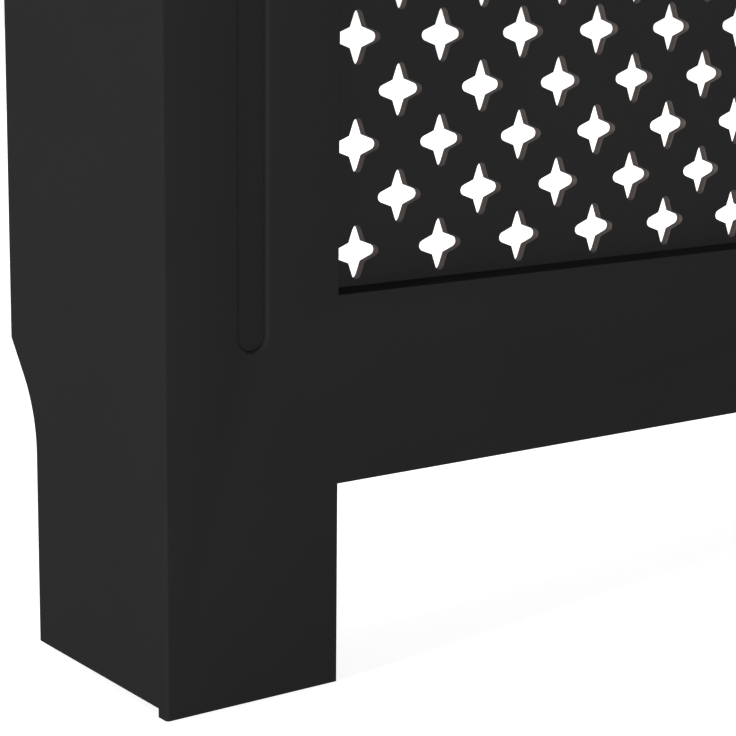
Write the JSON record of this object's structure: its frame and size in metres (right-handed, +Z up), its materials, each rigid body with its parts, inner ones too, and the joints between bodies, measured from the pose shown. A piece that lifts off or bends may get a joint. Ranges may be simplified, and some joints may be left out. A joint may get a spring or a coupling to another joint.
{
  "type": "radiator cover cabinet",
  "caption": "Black painted cabinet that stands over a radiator, with a shelf top, fluted front stiles, a star-pierced sheet grille and side panels cut back over the skirting board.",
  "frame": {"origin": "on the floor, under the middle of the top shelf", "axes": "+X along the front to the right as seen from the room, +Y towards the wall, +Z up"},
  "size_m": [0.8, 0.19, 0.815],
  "materials": {
    "black_paint": "medium-density fibreboard, sprayed satin black",
    "black_sheet": "thin high-density fibreboard, black faced, with brown-grey cut edges in the holes",
    "pine": "planed softwood, unfinished",
    "zinc": "pressed steel, zinc plated",
    "screws": "pan-head wood screws, yellow passivated steel"
  },
  "bodies": {
    "root": {"top_shelf": "black_paint", "left_stile": "black_paint", "right_stile": "black_paint", "bottom_rail": "black_paint", "top_rail": "black_paint", "left_side_panel": "black_paint", "right_side_panel": "black_paint", "grille_panel": "black_sheet", "left_corner_batten": "pine", "right_corner_batten": "pine", "left_rail_bracket": "zinc", "left_side_bracket": "zinc", "left_wall_bracket": "zinc", "left_rail_bracket_top_screw": "screws", "left_rail_bracket_flange_screw": "screws", "left_side_bracket_top_screw": "screws", "left_side_bracket_flange_screw": "screws", "left_wall_bracket_top_screw": "screws", "left_stile_screw_1": "screws", "left_side_screw_1": "screws", "left_stile_screw_2": "screws", "left_side_screw_2": "screws", "left_stile_screw_3": "screws", "left_side_screw_3": "screws", "grille_screw_left_1": "screws", "grille_screw_left_2": "screws", "right_rail_bracket": "zinc", "right_side_bracket": "zinc", "right_wall_bracket": "zinc", "right_rail_bracket_top_screw": "screws", "right_rail_bracket_flange_screw": "screws", "right_side_bracket_top_screw": "screws", "right_side_bracket_flange_screw": "screws", "right_wall_bracket_top_screw": "screws", "right_stile_screw_1": "screws", "right_side_screw_1": "screws", "right_stile_screw_2": "screws", "right_side_screw_2": "screws", "right_stile_screw_3": "screws", "right_side_screw_3": "screws", "grille_screw_right_1": "screws", "grille_screw_right_2": "screws", "grille_screw_bottom_1": "screws", "grille_screw_top_1": "screws", "grille_screw_bottom_2": "screws", "grille_screw_top_2": "screws", "grille_screw_bottom_3": "screws", "grille_screw_top_3": "screws"}
  },
  "joints": []
}
